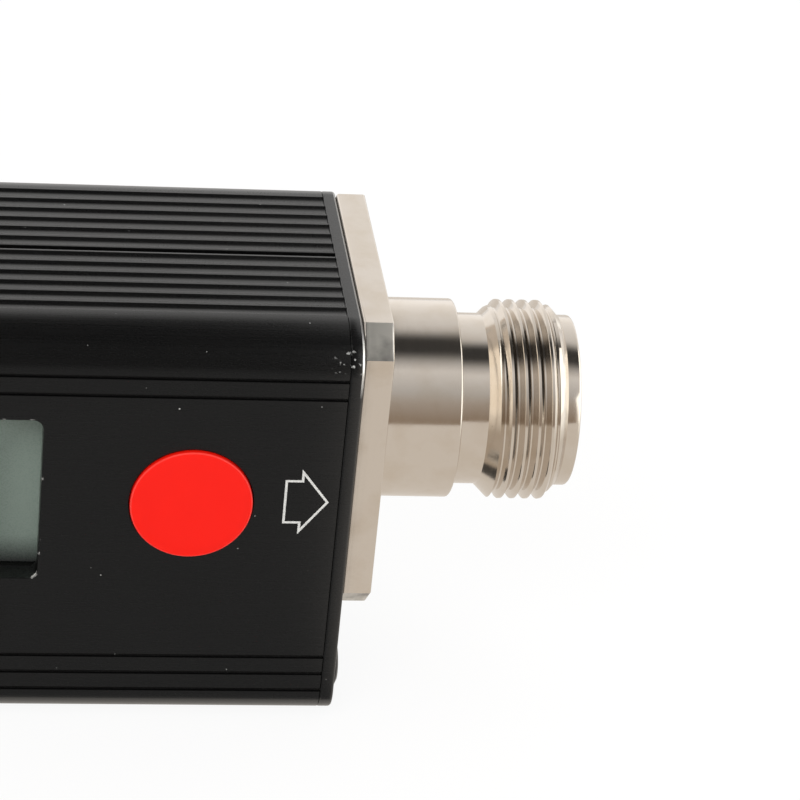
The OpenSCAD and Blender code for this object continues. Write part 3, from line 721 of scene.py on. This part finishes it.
def thread(bm):
    """Coupling thread as one helical band, cut by a cone at each end and closed by a tube in the wall."""
    crest, root = THREAD_CREST / 2, (THREAD_PITCH - THREAD_ROOT) / 2
    rise = [
        (root, THREAD_DEPTH), (root - THREAD_EASE, THREAD_DEPTH - THREAD_EASE),
        (crest + THREAD_EASE, THREAD_EASE), (crest, 0),
    ]
    section = [(-x, depth) for x, depth in rise] + [(x, depth) for x, depth in reversed(rise)]
    turns = math.ceil((RIM_START - NECK_END) / THREAD_PITCH) + 2
    first = CREST_X - THREAD_PITCH * round((CREST_X - NECK_END) / THREAD_PITCH + 1)
    grid = []
    for i in range(turns * TURN_STEPS + 1):
        t = math.tau * i / TURN_STEPS
        row = []
        for offset, depth in section:
            x = first + THREAD_PITCH * i / TURN_STEPS + offset
            start_cone = NECK_R + x - NECK_END
            end_cone = RIM_R + (RIM_START - x) * (THREAD_R - RIM_R) / (RIM_START - THREAD_END)
            r = max(NECK_R - THREAD_SINK, min(THREAD_R - depth, start_cone, end_cone))
            x = min(max(x, NECK_END - THREAD_TUCK), RIM_START + THREAD_TUCK)
            row.append(bm.verts.new((PLATE_X + x, -r * math.cos(t), JACK_Z - r * math.sin(t))))
        grid.append(row)
    for i in range(len(grid) - 1):
        here, ahead = grid[i], grid[i + 1]
        for k in range(len(section) - 1):
            bm.faces.new((here[k], here[k + 1], ahead[k + 1], ahead[k]))
        if i + TURN_STEPS + 1 < len(grid):
            beside, beside_ahead = grid[i + TURN_STEPS], grid[i + TURN_STEPS + 1]
            bm.faces.new((here[-1], beside[0], beside_ahead[0], ahead[-1]))
    bmesh.ops.remove_doubles(bm, verts=[v for row in grid for v in row], dist=THREAD_WELD)
    bmesh.ops.bridge_loops(bm, edges=[e for e in bm.edges if e.is_boundary])


def build_jack(name, node, turn):
    """Jack made for the output end: turned body, thread and square flange with sawn corners."""
    bm = bmesh.new()
    seat = JACK_L - SOCKET_DEPTH
    core = NECK_R - CORE_INSET
    profile = [
        (-SPIGOT_L, SPIGOT_R), (FLANGE_T / 2, SPIGOT_R), (FLANGE_T / 2, BARREL_R),
        *turned_edge(BARREL_END, BARREL_R, RING_EDGE), (BARREL_END, NECK_R), (NECK_END, NECK_R),
        (NECK_END + CORE_INSET, core), (RIM_START - CORE_INSET, core), (RIM_START - CORE_INSET, RIM_R),
        *turned_edge(JACK_L, RIM_R, RIM_EDGE),
        (JACK_L, SOCKET_R + MOUTH_EDGE), (JACK_L - MOUTH_EDGE, SOCKET_R),
        (seat, SOCKET_R), (seat, BORE_R), (-SPIGOT_L, BORE_R),
    ]
    lathe(bm, profile, x=PLATE_X, z=JACK_Z)
    thread(bm)
    deep = SINK_R - SCREW_HOLE_R
    middle_r = BARREL_R - FLANGE_LAP
    holes = [(0, JACK_Z, [(PLATE_X + FLANGE_T, middle_r), (PLATE_X, middle_r)])]
    for y in (-CHANNEL_Y, CHANNEL_Y):
        for z in (JACK_Z - CHANNEL_Y, JACK_Z + CHANNEL_Y):
            steps = [(FLANGE_T, SINK_R), (FLANGE_T - deep, SCREW_HOLE_R), (0, SCREW_HOLE_R)]
            holes.append((y, z, [(PLATE_X + x, r) for x, r in steps]))

    def border(grow):
        half = FLANGE_W / 2 + grow
        short = FLANGE_W - FLANGE_CUT + math.sqrt(2) * grow - half
        corners = [(half, short), (short, half), (-short, half), (-half, short)]
        outline = corners + [(-y, -z) for y, z in corners]
        return [(y, JACK_Z + z) for y, z in outline]

    def is_sawn(face):
        middle, slope = face.calc_center_median(), face.normal
        away = Vector((middle.y, middle.z - JACK_Z)).length
        return away > FLANGE_W / 2 and min(abs(slope.y), abs(slope.z)) > 0.6

    slab(bm, border, PLATE_X, PLATE_X + FLANGE_T, FLANGE_EDGE, holes)
    bmesh.ops.recalc_face_normals(bm, faces=bm.faces)
    for face in bm.faces:
        face.material_index = int(is_sawn(face))
    coats = [MATERIALS["nickel_plate"], MATERIALS["sawn_nickel"]]
    piece(name, bm, "case", coats, [node], turn)


def build_button():
    """Cap with a collar behind the face wall and a rounded rim whose middle band has a painted highlight in
    paler red.
    """
    bm = bmesh.new()
    face = -BUTTON_LOW.y - BUTTON_SINK
    back = -BUTTON_HIGH.y
    collar_r = BUTTON_HIGH.x - BUTTON_X
    collar_front = back + COLLAR_T
    profile = [(back, AXIS_R), (back, collar_r), (collar_front, collar_r), (collar_front, BUTTON_R)]
    profile += turned_edge(face, BUTTON_R, BUTTON_RIM, BUTTON_EDGE_STEPS)
    profile += [(face, BUTTON_R * k / CAP_RINGS) for k in reversed(range(1, CAP_RINGS))]
    profile.append((face, AXIS_R))
    lathe(bm, profile)
    # Painted highlight: faces in the middle band of the rim's rounding take the paler red
    for f in bm.faces:
        middle = f.calc_center_median()
        outward = Vector((middle.y, middle.z)).length
        f.material_index = int(BUTTON_R - BUTTON_RIM * 0.9 < outward < BUTTON_R - BUTTON_RIM * 0.1)
    turn = Matrix.Translation((BUTTON_X, 0, PANEL_Z)) @ Matrix.Rotation(-math.pi / 2, 4, "Z")
    coats = [MATERIALS["red_plastic"], MATERIALS["red_rim_highlight"]]
    piece("button", bm, "button", coats, ["button_cap"], turn)


def build_display():
    """Glass plate with a dark border and a thinner polariser sheet on its face."""
    bm = bmesh.new()
    middle = (GLASS_LOW + GLASS_HIGH) / 2
    size = GLASS_HIGH - GLASS_LOW
    low, high = WINDOW_BOTTOM - SHEET_DROP, GLASS_HIGH.z - SHEET_INSET

    def plate(grow):
        return rounded_rect(middle.x, middle.z, size.x + 2 * grow, size.z + 2 * grow, GLASS_R + grow)

    def sheet(grow):
        w, h = size.x - 2 * SHEET_INSET + 2 * grow, high - low + 2 * grow
        return rounded_rect(middle.x, (low + high) / 2, w, h, GLASS_R + grow)

    slab(bm, plate, -GLASS_HIGH.y, -GLASS_LOW.y - SHEET_T, GLASS_EDGE, [])
    bordering = len(bm.faces)
    slab(bm, sheet, -GLASS_LOW.y - SHEET_T, -GLASS_LOW.y, SHEET_EDGE, [])
    for i, face in enumerate(bm.faces):
        face.material_index = int(i < bordering)
    turn = Matrix(((0, 1, 0, 0), (-1, 0, 0, 0), (0, 0, 1, 0), (0, 0, 0, 1)))
    coats = [MATERIALS["display_glass"], MATERIALS["glass_border"]]
    piece("display", bm, "case", coats, ["lcd_glass"], turn)


def offset_outline(points, by):
    """Closed outline moved inwards by a distance, with mitred corners."""
    moved = []
    for i in range(len(points)):
        here = Vector(points[i])
        before = (here - Vector(points[i - 1])).normalized()
        after = (Vector(points[(i + 1) % len(points)]) - here).normalized()
        n0 = Vector((-before.y, before.x))
        n1 = Vector((-after.y, after.x))
        moved.append(here + (n0 + n1) * (by / (1 + n0.dot(n1))))
    return [(p.x, p.y) for p in moved]


def build_arrow(name, tip_x):
    """Outline arrow printed on the display face, pointing to the output."""
    bm = bmesh.new()
    head = tip_x - ARROW_HEAD_L
    tail = head - ARROW_SHAFT_L
    wide, narrow = ARROW_HEAD_H / 2, ARROW_SHAFT_H / 2
    outer = [
        (tip_x, 0), (head, wide), (head, narrow), (tail, narrow),
        (tail, -narrow), (head, -narrow), (head, -wide),
    ]
    outlines = [outer, offset_outline(outer, ARROW_STROKE)]
    faces = [
        [ring(bm, [(x, y, ARROW_Z + z) for x, z in o]) for o in outlines]
        for y in (-HALF_D - PRINT_T, -HALF_D + PRINT_T)
    ]
    for rings in faces:
        fill(bm, rings)
    for a, b in zip(*faces):
        bridge(bm, a, b)
    piece(name, bm, "case", [MATERIALS["print"]])


def softened(name, node, body, width, coat=None):
    """Copy of a CAD node's mesh with its sharp edges rounded, in the slot's material or another."""
    source = frame["nodes"][node]
    slot = next(p["material_slot"] for p in frame["record"]["subparts"] if p["node"] == node)
    bm = bmesh.new()
    bm.from_mesh(source.data)
    bmesh.ops.remove_doubles(bm, verts=bm.verts, dist=NODE_WELD_M)
    bmesh.ops.dissolve_limit(bm, angle_limit=math.radians(FLAT_ANGLE), verts=bm.verts, edges=bm.edges)
    bm.transform(Matrix.Scale(1 / MM, 4))
    corner = math.radians(BEVEL_ANGLE)
    sharp = [e for e in bm.edges if e.is_manifold and e.calc_face_angle() > corner]
    bmesh.ops.bevel(
        bm, geom=sharp, offset=width, segments=2, profile=0.5, affect="EDGES", clamp_overlap=True,
    )
    return piece(name, bm, body, [MATERIALS[coat or slot]], [node])


def build_small_parts():
    """Screws, contacts, insulators, display frame and the dome under the button."""
    for end in ("in", "out"):
        softened(f"end_screws_{end}", f"plate_screws_{end}", "case", 0.06)
        softened(f"flange_bolts_{end}", f"flange_screws_{end}", "case", 0.04, "bolt_heads")
        softened(f"centre_contact_{end}", f"contact_{end}", "case", 0.05)
        softened(f"jack_insulator_{end}", f"insulator_{end}", "case", 0.08)
    softened("display_frame", "lcd_frame", "case", 0.05)
    dome = softened("sprung_dome", "switch_dome", "case", 0.015)
    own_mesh(dome)


def dress_inner_nodes():
    """Gives every CAD node the material of its slot."""
    for row in frame["record"]["subparts"]:
        node = frame["nodes"][row["node"]]
        node.data.materials.clear()
        node.data.materials.append(MATERIALS[row["material_slot"]])


def grey(level):
    """Slightly warm grey."""
    return (level, level * 0.985, level * 0.965)


# What shiny surfaces see: an arch from the front horizon (0 degrees) over the object to the back,
# the table, a window at each end, and a dark canopy round the case. The arch has a radius of a metre
ARCH_TONES = [
    (0, (0.31, 0.235, 0.17)), (25, (0.48, 0.43, 0.385)), (38, grey(0.60)), (61, grey(0.85)),
    (70, grey(0.57)), (79, grey(0.17)), (84, grey(0.05)), (99, grey(0.05)), (104, grey(0.18)),
    (109, grey(0.46)), (115, grey(0.74)), (121, grey(0.84)), (131, grey(0.92)), (143, grey(1.0)),
    (155, grey(1.1)), (168, grey(1.22)), (180, grey(1.22)),
]
CARD_HALF_W = 2.0

# Table rows: Y in metres and tone
TABLE_TONES = [(-1.0, (0.84, 0.80, 0.74)), (-0.1, (0.80, 0.75, 0.69)), (0.3, (0.80, 0.75, 0.69))]
TABLE_CARD_Z = 0.0004

# Side window rows, from the lit table up: distance to the side, front end and height in metres, and tone
SIDE_WINDOW = [
    (0.10, -0.08, 0.0006, (0.84, 0.80, 0.74)), (0.15, -0.12, 0.0006, (1.35, 1.34, 1.29)),
    (0.45, -0.45, 0.0006, (1.5, 1.5, 1.45)), (0.45, -0.85, 0.001, (2.0, 2.0, 1.92)),
    (0.45, -0.85, 0.55, (2.0, 2.0, 1.92)),
]
SIDE_WINDOW_BACK = 0.2

# Canopy rows: Y, Z and half width in millimetres, and tone
CANOPY = [
    (-13.75, 0.8, 38.0, grey(0.215)), (-26, 0.8, 39.2, grey(0.215)), (-26, 27, 39.2, grey(0.215)),
    (-26, 34, 39.6, grey(0.05)), (-26, 58, 42.5, grey(0.05)), (-26, 115, 50.0, grey(0.02)),
    (62, 115, 52.7, grey(0.02)), (82, 115, 54.5, grey(0.5)), (133, 115, 60.2, grey(1.0)),
]

# Studio, in metres, with the camera's turn in degrees
FLOOR_REACH = 3.0
FLOOR_WHITE = 0.92
ROOM_COLOUR = (1.0, 0.99, 0.97, 1)
ROOM_LIGHT = 0.55
WHITE = (1, 1, 1, 1)
SENSOR_MM = 36.0
LENS_MM = 159.3
CLIP_START = 0.01
CAMERA_PLACE = (0.001603, -0.239733, 0.163639)
CAMERA_TURN = (59.650, -5.240, -6.645)


def reflection_card(name, rows):
    """Board seen only in reflections. Each row is its two ends and its tone."""
    mesh = bpy.data.meshes.new(name)
    corners = [end for row in rows for end in row[:2]]
    mesh.from_pydata(corners, [], [(2 * k, 2 * k + 1, 2 * k + 3, 2 * k + 2) for k in range(len(rows) - 1)])
    tones = mesh.color_attributes.new("tone", "FLOAT_COLOR", "POINT")
    for i, spot in enumerate(tones.data):
        spot.color = (*rows[i // 2][2], 1)
    g = Graph(name)
    tone = g.tree.nodes.new("ShaderNodeVertexColor")
    tone.layer_name = "tone"
    g.show(g.node("ShaderNodeEmission", Color=tone.outputs["Color"]))
    mesh.materials.append(g.material)
    card = placed(name, mesh)
    card.visible_camera = False
    card.visible_diffuse = False
    card.visible_transmission = False
    card.visible_shadow = False


def build_cards():
    def across(y, z, half_width, tone):
        return ((-half_width, y, z), (half_width, y, z), tone)

    arch = [(math.radians(a), tone) for a, tone in ARCH_TONES]
    reflection_card("arch_card", [across(-math.cos(a), math.sin(a), CARD_HALF_W, tone) for a, tone in arch])
    reflection_card("table_card", [across(y, TABLE_CARD_Z, CARD_HALF_W, tone) for y, tone in TABLE_TONES])
    for side in (-1, 1):
        rows = [
            ((x * side, y, z), (x * side, SIDE_WINDOW_BACK, z), tone) for x, y, z, tone in SIDE_WINDOW
        ]
        reflection_card(f"window_card_{side}", rows)
    reflection_card("canopy_card", [across(y * MM, z * MM, half * MM, tone) for y, z, half, tone in CANOPY])


def white_to_view(tree):
    """1 for rays from the camera and for rays that metal and glass send on."""
    path = tree.nodes.new("ShaderNodeLightPath")
    total = path.outputs["Is Camera Ray"]
    for kind in ("Is Glossy Ray", "Is Transmission Ray"):
        made = tree.nodes.new("ShaderNodeMath")
        made.operation = "MAXIMUM"
        tree.links.new(total, made.inputs[0])
        tree.links.new(path.outputs[kind], made.inputs[1])
        total = made.outputs[0]
    return total


def blended(tree, share, first, second):
    """Mix of two shader nodes, by the share of the second."""
    blend = tree.nodes.new("ShaderNodeMixShader")
    tree.links.new(share, blend.inputs[0])
    tree.links.new(first.outputs[0], blend.inputs[1])
    tree.links.new(second.outputs[0], blend.inputs[2])
    return blend


def build_floor():
    """Pale floor that keeps the object's shadow."""
    mesh = bpy.data.meshes.new("floor")
    mesh.from_pydata([(s * FLOOR_REACH, t * FLOOR_REACH, 0) for s, t in SQUARE], [], [(0, 1, 2, 3)])
    g = Graph("floor")
    g.set(Base_Color=g.mix(g.noise(40.0), (0.80, 0.79, 0.77), (0.83, 0.82, 0.80)), Roughness=0.9)
    white = g.node("ShaderNodeEmission", Color=WHITE, Strength=1.0)
    share = g.math("MULTIPLY", white_to_view(g.tree), FLOOR_WHITE)
    g.show(blended(g.tree, share, g.shader, white))
    mesh.materials.append(g.material)
    placed("floor", mesh)


def build_world():
    """Soft room light, and a white background to look at."""
    world = bpy.data.worlds.new("studio")
    bpy.context.scene.world = world
    world.use_nodes = True
    tree = world.node_tree
    room = tree.nodes["Background"]
    room.inputs["Color"].default_value = ROOM_COLOUR
    room.inputs["Strength"].default_value = ROOM_LIGHT
    white = tree.nodes.new("ShaderNodeBackground")
    white.inputs["Color"].default_value = WHITE
    white.inputs["Strength"].default_value = 1.0
    blend = blended(tree, white_to_view(tree), room, white)
    tree.links.new(blend.outputs[0], tree.nodes["World Output"].inputs["Surface"])


def soft_light(name, place, size, power):
    """Square lamp turned to the object, which shiny surfaces don't show."""
    light = bpy.data.lights.new(name, "AREA")
    light.shape = "SQUARE"
    light.size = size
    light.energy = power
    obj = placed(name, light)
    obj.location = place
    obj.rotation_euler = Vector(place).to_track_quat("Z", "Y").to_euler()
    obj.visible_glossy = False


def build_camera():
    data = bpy.data.cameras.new("camera")
    data.sensor_width = SENSOR_MM
    data.lens = LENS_MM
    data.clip_start = CLIP_START
    camera = placed("camera", data)
    camera.location = CAMERA_PLACE
    camera.rotation_euler = [math.radians(a) for a in CAMERA_TURN]
    bpy.context.scene.camera = camera


def build_studio():
    build_floor()
    build_world()
    build_camera()
    soft_light("key", (-0.35, -0.75, 0.95), size=0.7, power=9.0)
    soft_light("top", (0.25, 0.35, 1.0), size=0.8, power=6.0)
    build_cards()


dress_inner_nodes()
build_case()
build_end_plate("plate_out", "end_plate_out", -1, None)
build_end_plate("plate_in", "end_plate_in", 1, INPUT_SIDE)
build_jack("coupling_out", "jack_out", None)
build_jack("coupling_in", "jack_in", INPUT_SIDE)
build_button()
build_display()
build_arrow("arrow_out", ARROW_TIP)
build_arrow("arrow_in", ARROW_HEAD_L + ARROW_SHAFT_L - ARROW_TIP)
build_small_parts()
build_studio()
bpy.context.scene.view_settings.view_transform = "Standard"
